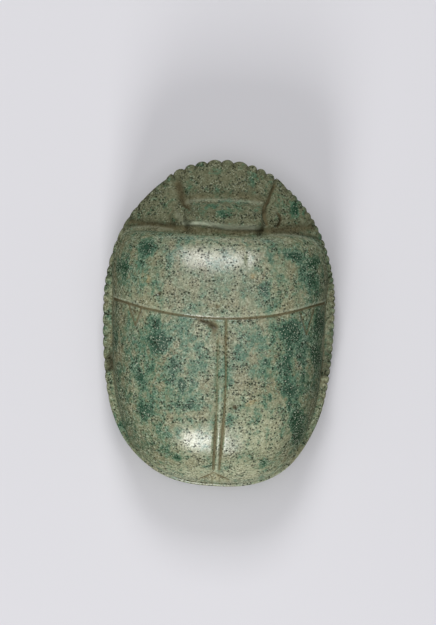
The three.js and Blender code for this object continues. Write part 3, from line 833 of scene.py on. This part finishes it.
def carved_scarab():
    """The whole amulet: cap, band and underside, with what its material needs to know per vertex."""
    outline = Outline()
    cap = Cap(outline)
    x = cap.points[..., 0]
    y = cap.points[..., 1]
    z = cap.points[..., 2]
    from_suture = suture_distance(cap)
    groove, deposit = carve(cap, from_suture)
    uneven = sum(height * ripple(x, y, length) for length, height in UNEVENNESS)
    inside_rim = 1 - smooth(0.92, 1.0, cap.ledge) * cap.on_ledge
    points = cap.points + grid_normals(cap.points) * ((uneven - groove) * inside_rim)[..., None]
    rings = edge_rings(ring_loop(points), ring_loop(cap.compass), outline)
    mesh = make_mesh("carved_scarab", *assemble(points, rings))

    apron = smooth(14.0, 18.0, y) * (1 - cap.on_back)
    notch = outline.notched_at(cap.compass) * cap.toothed
    # Painted shade: thicker down the flank, thin on the legs and on the open tail, which the tail lamp
    # lights, thick between the teeth
    low_flank = cap.on_back * smooth(21.0, 13.0, z) + (1 - cap.on_back) * 0.35
    low_flank = low_flank * mix(1.0, 0.25, smooth(-22.0, -28.0, y))
    # A painted highlight along the suture's upper lip
    suture_lip_highlight = 0.4 * cap.on_back * bell(from_suture - 0.44, 0.18)
    for name, values, under_value in (
        ("deposit", deposit * mix(0.3, 1.0, inside_rim), 0.25),
        ("glaze", strongest_spot(x, y, GLAZE), 0.1),
        ("ochre", strongest_spot(x, y, OCHRE_STAINS), 0.2),
        # Rubbed stone, with painted highlights on the prothorax and the tail
        ("bare_and_highlit", strongest_spot(x, y, RUBBED_AND_HIGHLIT_STONE), 0.3),
        ("apron", apron, 0.6),
        # Worn pale edges and painted highlights
        ("pale", np.maximum(strongest_line(x, y, PALE_EDGES_AND_HIGHLIGHTS), suture_lip_highlight), 0.0),
        # Dark dirt, and painted shade in grooves, valleys and between the teeth
        ("dark", np.maximum(strongest_line(x, y, DARK_DIRT_AND_SHADE_LINES), 0.8 * notch), 0.0),
        # Painted shade down the flank, between the teeth and in the valley before the prothorax
        ("painted_shade", np.maximum.reduce([notch, low_flank, 0.9 * valley_dirt_and_shade(cap)]), 0.4),
    ):
        add_attribute(mesh, rings, name, values, under_value)
    return mesh


class Shade:
    """The output of a shader node, which takes part in Python arithmetic."""

    def __init__(self, tree, socket=None):
        self.tree = tree
        self.socket = socket

    def node(self, kind, inputs=(), output=0, **settings):
        """Any node: its type, its inputs by name or number, which output, and its settings."""
        made = self.tree.nodes.new(kind)
        for name, value in settings.items():
            setattr(made, name, value)
        for key, value in dict(inputs).items():
            if isinstance(value, Shade):
                self.tree.links.new(value.socket, made.inputs[key])
            else:
                made.inputs[key].default_value = value
        return Shade(self.tree, made.outputs[output])

    def math(self, operation, *values):
        """A Math node on numbers or shades."""
        return self.node("ShaderNodeMath", enumerate(values), operation=operation)

    def __add__(self, other):
        return self.math("ADD", self, other)

    __radd__ = __add__

    def __sub__(self, other):
        return self.math("SUBTRACT", self, other)

    def __rsub__(self, other):
        return self.math("SUBTRACT", other, self)

    def __mul__(self, other):
        return self.math("MULTIPLY", self, other)

    __rmul__ = __mul__

    def step(self, low, high):
        """A smooth step from 0 at low to 1 at high."""
        return self.node(
            "ShaderNodeMapRange",
            {"Value": self, "From Min": low, "From Max": high},
            interpolation_type="SMOOTHSTEP",
        )

    def blend(self, one, other):
        """The first colour, with this share of the other."""
        return self.node("ShaderNodeMix", {0: self, 6: one, 7: other}, output=2, data_type="RGBA")

    def stretched(self, x, y, z):
        """This vector with its parts multiplied."""
        return self.node("ShaderNodeVectorMath", {0: self, 1: (x, y, z)}, operation="MULTIPLY")


def colour(red, green, blue):
    """A colour from its screen values, 0 to 255, as linear light."""
    parts = [value / 255 for value in (red, green, blue)]
    return (*[((p + 0.055) / 1.055) ** 2.4 if p > 0.04 else p / 12.92 for p in parts], 1.0)


PALE_STONE = colour(138, 144, 114)
SAGE = colour(113, 125, 97)
SAND = colour(138, 129, 98)
BUFF = colour(182, 184, 152)
OCHRE = colour(158, 136, 88)
MOSS = colour(84, 114, 86)
TEAL = colour(62, 112, 92)
BOTTLE_GREEN = colour(24, 66, 47)
OLIVE = colour(113, 114, 89)
MURK = colour(56, 60, 42)
SOOT = colour(38, 44, 32)
CHALK = colour(204, 212, 186)
EARTH = colour(102, 92, 66)
PITCH = colour(40, 38, 26)


def material(name):
    """A new node material and the start of its shader maths."""
    made = bpy.data.materials.new(name)
    made.use_nodes = True
    made.node_tree.nodes.clear()
    return made, Shade(made.node_tree)


def show(made, surface):
    """Gives the material its surface."""
    output = made.node_tree.nodes.new("ShaderNodeOutputMaterial")
    made.node_tree.links.new(surface.socket, output.inputs["Surface"])


def glazed_stone():
    """Worn green glaze on pale soft stone: streaks, patches, pits and brown deposits, with painted
    glints, painted highlights and painted shade.
    """
    made, start = material("glazed_stone")
    place = start.node("ShaderNodeTexCoord", output="Object").stretched(1 / MM, 1 / MM, 1 / MM)

    def noise(scale, detail, roughness=0.55, at=place):
        """Cloudy noise between 0 and 1, by its scale per millimetre."""
        inputs = {"Vector": at, "Scale": scale, "Detail": detail, "Roughness": roughness}
        return start.node("ShaderNodeTexNoise", inputs)

    def from_dot(scale):
        """Distance from the nearest of scattered dots, in steps of their spacing."""
        return start.node("ShaderNodeTexVoronoi", {"Vector": place, "Scale": scale})

    def attribute(name):
        """A value that the mesh carries at each vertex."""
        return start.node("ShaderNodeAttribute", output="Fac", attribute_name=name)

    # Fields of noise, large to small, and what the mesh gives
    broad = noise(0.14, 3.0)
    streaks = noise(0.42, 6.0, 0.62, place.stretched(1.0, 0.5, 1.0))
    mottle = noise(1.1, 4.0, 0.6)
    tone = noise(1.9, 3.0, 0.6)
    grain = noise(3.6, 2.0, 0.6)
    gritty = noise(0.5, 2.0).step(0.35, 0.65)
    deposit = attribute("deposit")
    apron = attribute("apron")
    # Painted shade: down the flank, between the teeth and in the valley before the prothorax
    painted_shade = attribute("painted_shade")

    # Where the glaze is green and glassy, and where pits, painted glints and brown deposit lie
    green = attribute("glaze") * 1.1 + (streaks - 0.5) * 1.9 + (mottle - 0.5) * 1.5 + (tone - 0.5) * 0.6
    glassy = green.step(0.46, 0.76)
    pits = (gritty * 0.2 + mottle * 0.6 + grain * 0.5 - from_dot(1.9)).step(0.33, 0.44)
    painted_glints = (grain * 0.5 + glassy * 0.08 - from_dot(2.3)).step(0.08, 0.16)
    brown = (deposit * 1.5 + mottle * 0.8 + grain * 0.4 - 0.9).step(0.0, 0.7)

    # Stone: pale to sage and sand, stained ochre, rubbed bare with painted highlights, and olive on the
    # apron
    base = broad.step(0.38, 0.62).blend(PALE_STONE, SAGE)
    base = ((1 - streaks).step(0.46, 0.64) * 0.6).blend(base, SAND)
    base = ((attribute("ochre") * 1.6 + mottle - 1.0).step(0.0, 0.8) * 0.7).blend(base, OCHRE)
    # Pale buff for rubbed stone and for painted highlights
    base = (attribute("bare_and_highlit") * 0.7).blend(base, BUFF)
    base = (apron * 0.85).blend(base, OLIVE)

    # Glaze, thin to thick
    base = (green.step(0.0, 0.42) * 0.8).blend(base, MOSS)
    base = ((green + broad * 0.6 - 0.3).step(0.12, 0.6) * 0.6).blend(base, TEAL)
    base = (glassy * 0.93).blend(base, BOTTLE_GREEN)

    # Painted shade, then darker and paler tones, pits and painted glints
    base = (painted_shade * (0.26 + 0.4 * mottle)).blend(base, MURK)
    base = ((1 - tone).step(0.46, 0.66) * 0.34).blend(base, MURK)
    base = (tone.step(0.5, 0.68) * (0.24 - 0.14 * apron) * (1 - glassy * 0.7)).blend(base, CHALK)
    base = ((1 - grain).step(0.48, 0.64) * (0.16 + 0.36 * gritty)).blend(base, SOOT)
    base = (pits * 0.85).blend(base, SOOT)
    base = (grain.step(0.52, 0.68) * (0.14 + 0.3 * gritty - 0.1 * apron)).blend(base, CHALK)
    # Painted glints: white specks, most on the glassy glaze
    base = (painted_glints * (0.25 + 0.35 * glassy - 0.12 * apron)).blend(base, CHALK)

    # Brown deposits, dark cuts with painted shade, and worn pale edges with painted highlights
    base = (brown * (0.5 + 0.5 * tone)).blend(base, EARTH)
    # Dark dirt and painted shade
    base = (attribute("dark") * 0.8).blend(base, PITCH)
    base = (attribute("pale") * 0.55).blend(base, CHALK)

    # Gloss comes from the coat alone, which thins where shade is painted, in deposits and pits and on
    # the apron
    roughness = 0.52 + (grain - 0.5) * 0.5 + deposit * 0.2 + painted_shade * 0.1 - glassy * 0.15
    gloss = (1 - painted_shade * 2.4) * (1 - deposit * 0.8) * (1 - apron * 0.5) * (grain * 1.6 - pits * 0.5)
    height = mottle * 0.5 + grain * 0.5 - pits * 0.5
    bump = start.node("ShaderNodeBump", {"Strength": 0.9, "Distance": 0.18 * MM, "Height": height})
    surface = {"Base Color": base, "Roughness": roughness, "Normal": bump, "Specular IOR Level": 0.0}
    surface.update({"Coat Weight": gloss.step(0.0, 1.0), "Coat Roughness": 0.3, "Coat IOR": 1.6})
    show(made, start.node("ShaderNodeBsdfPrincipled", surface))
    return made


# Floor, light and camera

def floor():
    """The plain pale floor, which is no part of the amulet."""
    made, start = material("pale_floor")
    surface = {"Base Color": colour(211, 210, 214), "Roughness": 0.9}
    show(made, start.node("ShaderNodeBsdfPrincipled", surface))
    half = 0.6
    corners = [(-half, -half, 0), (half, -half, 0), (half, half, 0), (-half, half, 0)]
    mesh = bpy.data.meshes.new("floor")
    mesh.from_pydata(corners, [], [(0, 1, 2, 3)])
    mesh.materials.append(made)
    piece = bpy.data.objects.new("floor", mesh)
    bpy.context.scene.collection.objects.link(piece)


def area_light(name, elevation, azimuth, distance, size, watts):
    """A square soft light aimed at the amulet, at an elevation and azimuth in degrees."""
    data = bpy.data.lights.new(name, "AREA")
    data.size = size
    data.energy = watts
    up = math.radians(elevation)
    round_to = math.radians(azimuth)
    lamp = bpy.data.objects.new(name, data)
    flat = distance * math.cos(up)
    lamp.location = (flat * math.sin(round_to), flat * math.cos(round_to), distance * math.sin(up))
    lamp.rotation_euler = (-Vector(lamp.location)).to_track_quat("-Z", "Y").to_euler()
    bpy.context.scene.collection.objects.link(lamp)


def studio():
    """Two small lamps for the gloss at head and tail, a broad one overhead and a dim even sky."""
    area_light("head_light", 46, -4, distance=0.75, size=0.22, watts=2.3)
    area_light("tail_light", 28, 186, distance=0.75, size=0.22, watts=3.9)
    area_light("top_fill", 84, -40, distance=1.4, size=1.6, watts=9.3)
    world = bpy.data.worlds.new("studio")
    world.use_nodes = True
    background = world.node_tree.nodes["Background"]
    background.inputs["Color"].default_value = (0.94, 0.95, 1.0, 1.0)
    background.inputs["Strength"].default_value = 0.17
    bpy.context.scene.world = world
    bpy.context.scene.view_settings.view_transform = "Standard"


def camera():
    """Straight above with a long lens, turned and set off so that the amulet lies as in the photo."""
    pixel = 0.184 * MM
    picture_height = 625
    across, ahead = -0.5, 10.5  # from the origin to the picture's middle, in pixels
    roll = math.radians(1.8)
    distance = 0.8
    measured_height = 0.005  # the height at which a pixel has that size
    data = bpy.data.cameras.new("camera")
    data.sensor_fit = "VERTICAL"
    data.angle = 2 * math.atan(picture_height * pixel / 2 / (distance - measured_height))
    data.clip_end = 10.0
    piece = bpy.data.objects.new("camera", data)
    turn = Matrix.Rotation(roll, 4, "Z")
    place = turn @ Vector((across * pixel, ahead * pixel, 0))
    piece.matrix_world = Matrix.Translation((place.x, place.y, distance)) @ turn
    bpy.context.scene.collection.objects.link(piece)
    bpy.context.scene.camera = piece


mesh = carved_scarab()
mesh.materials.append(glazed_stone())
scarab = bpy.data.objects.new("carved_scarab", mesh)
bpy.context.scene.collection.objects.link(scarab)
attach(scarab, "root")
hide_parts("scarab")

floor()
studio()
camera()
